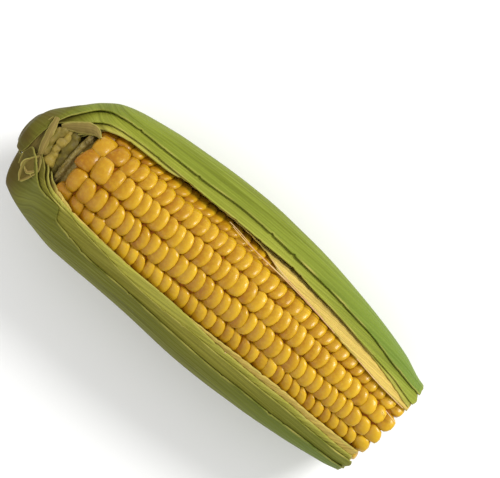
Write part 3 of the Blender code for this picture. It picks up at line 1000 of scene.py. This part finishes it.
def bud(name, middle, reach, seed):
    """A soft lump of young tissue, from a ball squeezed to its reach and ruffled."""
    deselect_all()
    bpy.ops.mesh.primitive_ico_sphere_add(subdivisions=4, radius=1)
    piece = bpy.context.active_object
    piece.name = piece.data.name = name
    for v in piece.data.vertices:
        ball = v.co.copy()
        swell = 1 + 0.22 * noise.noise(ball * 1.3 + Vector((0, 0, seed * 7)))
        v.co = place_upright(*(m + r * swell * c for m, r, c in zip(middle, reach, ball)))
    return piece


# Pieces of leaf folded over the foot, each with its spine and half widths in millimetres, its cup, its
# twist in degrees and how bruised it is.
FOLDS = [
    ("folded_strip",
     [(8.2, 10.2, 13.0), (9.1, 7.1, 14.4), (10.0, 3.2, 15.2), (11.0, -1.1, 15.0), (11.7, -4.0, 14.2),
      (11.1, -7.0, 12.8), (9.7, -10.0, 11.2)],
     [0.8, 1.4, 1.5, 1.3, 1.0, 0.9, 1.1], 0.5, 8, 0.15),
    ("butt_flap",
     [(11.4, 8.7, 14.0), (14.4, 10.8, 14.8), (17.3, 12.6, 15.8), (20.4, 14.4, 17.0), (22.6, 15.0, 17.8),
      (25.4, 14.0, 18.4)],
     [0.8, 1.7, 2.2, 2.3, 1.8, 0.2], 0.15, -14, 0.15),
    ("stalk_wrap",
     [(7.6, 9.5, 12.2), (7.9, 4.0, 13.2), (8.2, -1.0, 13.2), (8.2, -6.0, 12.0), (8.4, -11.5, 9.8)],
     [1.2, 2.3, 2.5, 2.4, 1.5], 0.15, 0, 0.6),
    # A dark strip whose bruise colour is painted shade inside the hole torn in the leaf, between the pale
    # torn edges that follow.
    ("hole_shade_sheet",
     [(12.4, -4.9, 15.0), (11.6, -7.4, 15.3), (11.7, -10.0, 15.2), (11.9, -12.9, 14.4),
      (11.9, -15.8, 13.3)],
     [0.4, 1.7, 2.4, 1.7, 0.2], 0.1, 0, 0.85),
    ("torn_edge_left",
     [(12.4, -4.5, 15.4), (11.0, -6.9, 15.3), (9.4, -9.6, 14.9), (10.1, -12.8, 14.3),
      (11.9, -16.0, 13.4)],
     [0.4, 0.7, 0.8, 0.8, 0.4], 0.2, 40, 0.1),
    ("torn_edge_right",
     [(12.4, -4.5, 15.4), (13.9, -6.7, 15.6), (14.9, -9.3, 15.5), (13.7, -12.8, 14.6),
      (11.9, -16.0, 13.4)],
     [0.4, 0.7, 0.7, 0.8, 0.4], 0.2, -40, 0.1),
    ("torn_edge_bridge",
     [(9.6, -9.3, 14.9), (11.2, -11.2, 15.0), (12.2, -11.9, 15.1), (14.8, -9.1, 15.5)],
     [0.4, 0.6, 0.6, 0.4], 0.3, 20, 0.1),
]

# Young tissue at the foot, each piece with its kind and the middles and reaches of its lumps.
BUDS = [
    ("young_sheath", "green",
     [((11.9, 3.4, 12.8), (2.0, 4.8, 2.6)), ((12.6, -0.6, 12.6), (1.9, 3.4, 2.3)),
      ((13.2, 7.4, 12.9), (1.8, 2.8, 1.9))]),
    ("young_shoots", "pale",
     [((15.9, 6.6, 13.4), (1.6, 2.2, 1.8)), ((15.3, 3.9, 14.0), (2.2, 1.9, 1.9)),
      ((16.6, 5.4, 13.2), (1.7, 2.0, 1.6)), ((15.1, 1.0, 13.8), (1.6, 2.0, 1.7)),
      ((15.7, -1.0, 13.4), (1.9, 1.5, 1.7)), ((15.9, -3.9, 13.5), (2.6, 2.5, 2.2)),
      ((14.6, -5.2, 13.2), (1.5, 1.6, 1.6)), ((15.4, 8.9, 12.8), (1.2, 2.2, 1.4))]),
    ("young_wrap", "olive",
     [((18.4, 4.4, 13.2), (2.3, 4.6, 2.1)), ((19.0, -0.6, 12.9), (2.2, 3.8, 2.0)),
      ((17.8, 8.2, 12.9), (2.0, 2.6, 1.8)), ((18.8, -4.6, 12.4), (2.0, 2.8, 1.8))]),
    ("chaff_fleck", "pale",
     [((23.6, 5.6, 17.9), (0.4, 0.9, 0.5)), ((23.9, 4.4, 17.8), (0.4, 0.8, 0.5))]),
]


class CORN_OT_foot(bpy.types.Operator):
    """Folds the torn leaf bases and the young buds over the foot of the ear"""

    bl_idname = "corn.foot"
    bl_label = "Foot"

    def execute(self, context):
        sizes, colours = context.scene.corn_sizes, context.scene.corn_colours
        strip_skin = leaf_skin("cut_leaf_base", colours.husk_base, colours, sizes.rib_spacing)
        for seed, (name, spine, half_widths, cup, twist, bruise) in enumerate(FOLDS):
            piece = ribbon(name, spine, half_widths, sizes.leaf_thickness, cup, seed, twist, bruise)
            hand_over(piece, strip_skin, "pale_husk")
        flesh = {
            kind: bud_flesh(kind + "_bud_flesh", base, shade) for kind, base, shade in (
                ("pale", colours.bud_pale, colours.husk_base),
                ("green", colours.bud_green, colours.husk_base),
                ("olive", colours.husk_brown, colours.bud_green),
            )
        }
        for seed, (name, kind, balls) in enumerate(BUDS):
            lumps = [bud(name, middle, reach, seed + 10 * i) for i, (middle, reach) in enumerate(balls)]
            piece = join(lumps, name)
            # Lumps that touch have grown into one.
            apply_modifier(piece, "REMESH", mode="VOXEL", voxel_size=0.22 * MM)
            apply_modifier(piece, "SMOOTH", factor=0.6, iterations=6)
            hand_over(piece, flesh[kind], "pale_husk")
        return {"FINISHED"}


# Silk

# Strands by places along the ear, turns and heights above the kernels' crowns.
SILKS = [
    [(80, 55, 0.6), (84, 54, 0.5), (88, 51, 0.6), (92, 48, 0.5), (96, 46, 0.6), (100, 45.5, 0.6),
     (106, 44, 0.8), (114, 42, 1.1), (124, 39.5, 1.2), (134, 36.5, 1.2)],
    [(82, 53, 0.5), (87, 49, 0.5), (92, 47.5, 0.5), (98, 46.5, 0.6), (104, 44.5, 0.8), (110, 43.5, 1.2)],
    [(100, 50, 1.5), (105, 46, 1.4), (112, 43.6, 1.3), (120, 41.2, 1.3), (128, 38.6, 1.3)],
    [(146, 33.5, 1.2), (152, 31.8, 1.2), (158, 30.6, 1.2), (164, 31, 1.2), (170, 31.5, 1.3)],
    [(165.6, 16, 0.9), (167.4, 15, 1.4), (169.0, 14.4, 1.3), (170.4, 13.8, 0.9)],
    [(108, -44, 1.1), (116, -44.8, 1.2), (124, -45.5, 1.2), (132, -46, 1.1)],
]


class CORN_OT_silk(bpy.types.Operator):
    """Lays the loose strands of silk between the kernels and the husk"""

    bl_idname = "corn.silk"
    bl_label = "Silk"

    def execute(self, context):
        sizes, colours = context.scene.corn_sizes, context.scene.corn_colours
        strands = []
        for i, path in enumerate(SILKS):
            # A hair is a curve with a round bevel, as no mesh tool lays one along a path.
            curve = bpy.data.curves.new(f"silk_{i}", "CURVE")
            curve.dimensions = "3D"
            curve.bevel_depth = sizes.silk_thickness / 2
            curve.bevel_resolution = 2
            curve.use_fill_caps = True
            spline = curve.splines.new("NURBS")
            spline.points.add(len(path) - 1)
            spline.order_u = 4
            spline.use_endpoint_u = True
            for point, (along, turn, lift) in zip(spline.points, path):
                point.co = (*place_turned(along, turn, through(CROWNS, along) + lift), 1)
            strand = bpy.data.objects.new(f"silk_{i}", curve)
            context.scene.collection.objects.link(strand)
            select_only(strand)
            bpy.ops.object.convert(target="MESH")
            strands.append(bpy.context.view_layer.objects.active)
        hand_over(join(strands, "silk_strands"), dry_silk(colours), "silk", "silk_strand")
        return {"FINISHED"}


# Stage

VIEW_TURN = 39.05  # the camera looks straight down, with the ear turned this far across its view
VIEW_WIDTH = 183.8  # millimetres across the view, at the height of the ear's axis
VIEW_ASIDE, VIEW_ABOVE = 13.45, 12.54  # from the ear's middle to the middle of the view
SENSOR_WIDTH = 36
SKYLIGHT = 0.72
# Each lamp with its place and size in metres, and its power in watts.
LAMPS = [("key", (0.45, 0.85, 0.78), 0.45, 12.5), ("fill", (-0.5, -0.6, 1.0), 1.4, 3.5)]


class CORN_OT_stage(bpy.types.Operator):
    """Lays the floor and sets the lights and the camera"""

    bl_idname = "corn.stage"
    bl_label = "Stage"

    def execute(self, context):
        sizes, colours = context.scene.corn_sizes, context.scene.corn_colours
        deselect_all()
        bpy.ops.mesh.primitive_plane_add(size=6)
        floor = bpy.context.active_object
        floor.name = "floor"
        floor.data.materials.append(matt_board(colours))

        world = context.scene.world or bpy.data.worlds.new("studio")
        context.scene.world = world
        world.use_nodes = True
        background = world.node_tree.nodes["Background"]
        background.inputs["Color"].default_value = (1, 1, 1, 1)
        background.inputs["Strength"].default_value = SKYLIGHT
        for lamp in LAMPS:
            self.add_lamp(*lamp)

        turn = math.radians(VIEW_TURN)
        camera = bpy.data.objects.new("camera", bpy.data.cameras.new("camera"))
        context.scene.collection.objects.link(camera)
        right = Vector((math.cos(turn), math.sin(turn), 0))
        up = Vector((-math.sin(turn), math.cos(turn), 0))
        distance = sizes.camera_height - AXIS_HEIGHT * MM
        camera.data.sensor_width = SENSOR_WIDTH
        camera.data.lens = SENSOR_WIDTH * distance / (VIEW_WIDTH * MM)
        middle = (right * VIEW_ASIDE + up * VIEW_ABOVE) * MM
        camera.location = (middle.x, middle.y, sizes.camera_height)
        camera.rotation_euler = (0, 0, turn)
        camera.data.clip_start = 0.01
        context.scene.camera = camera
        context.scene.view_settings.view_transform = "Standard"
        return {"FINISHED"}

    def add_lamp(self, name, position, size, power):
        """Adds a round lamp that points at the ear."""
        light = bpy.data.lights.new(name, "AREA")
        light.shape = "DISK"
        light.size = size
        light.energy = power
        lamp = bpy.data.objects.new(name, light)
        bpy.context.scene.collection.objects.link(lamp)
        lamp.location = position
        lamp.rotation_euler = (-Vector(position)).to_track_quat("-Z", "Y").to_euler()


class CORN_PT_panel(bpy.types.Panel):
    """Sizes and colours of the ear, and a button for each of its steps"""

    bl_label = "Corn Cob"
    bl_idname = "CORN_PT_panel"
    bl_space_type = "VIEW_3D"
    bl_region_type = "UI"
    bl_category = "Corn Cob"

    def draw(self, context):
        layout = self.layout
        for group in (context.scene.corn_sizes, context.scene.corn_colours):
            column = layout.column()
            for name in group.bl_rna.properties.keys():
                if name not in ("rna_type", "name"):
                    column.prop(group, name)
        for operator in OPERATORS:
            layout.operator(operator.bl_idname)


OPERATORS = (
    CORN_OT_kernels, CORN_OT_cob, CORN_OT_husk, CORN_OT_foot, CORN_OT_silk, CORN_OT_stage
)
CLASSES = (CornSizes, CornColours, *OPERATORS, CORN_PT_panel)


def register():
    for one in CLASSES:
        bpy.utils.register_class(one)
    bpy.types.Scene.corn_sizes = PointerProperty(type=CornSizes)
    bpy.types.Scene.corn_colours = PointerProperty(type=CornColours)


def unregister():
    del bpy.types.Scene.corn_sizes
    del bpy.types.Scene.corn_colours
    for one in reversed(CLASSES):
        bpy.utils.unregister_class(one)


def main():
    register()
    bpy.ops.corn.kernels()
    bpy.ops.corn.cob()
    bpy.ops.corn.husk()
    bpy.ops.corn.foot()
    bpy.ops.corn.silk()
    bpy.ops.corn.stage()


if __name__ == "__main__":
    main()
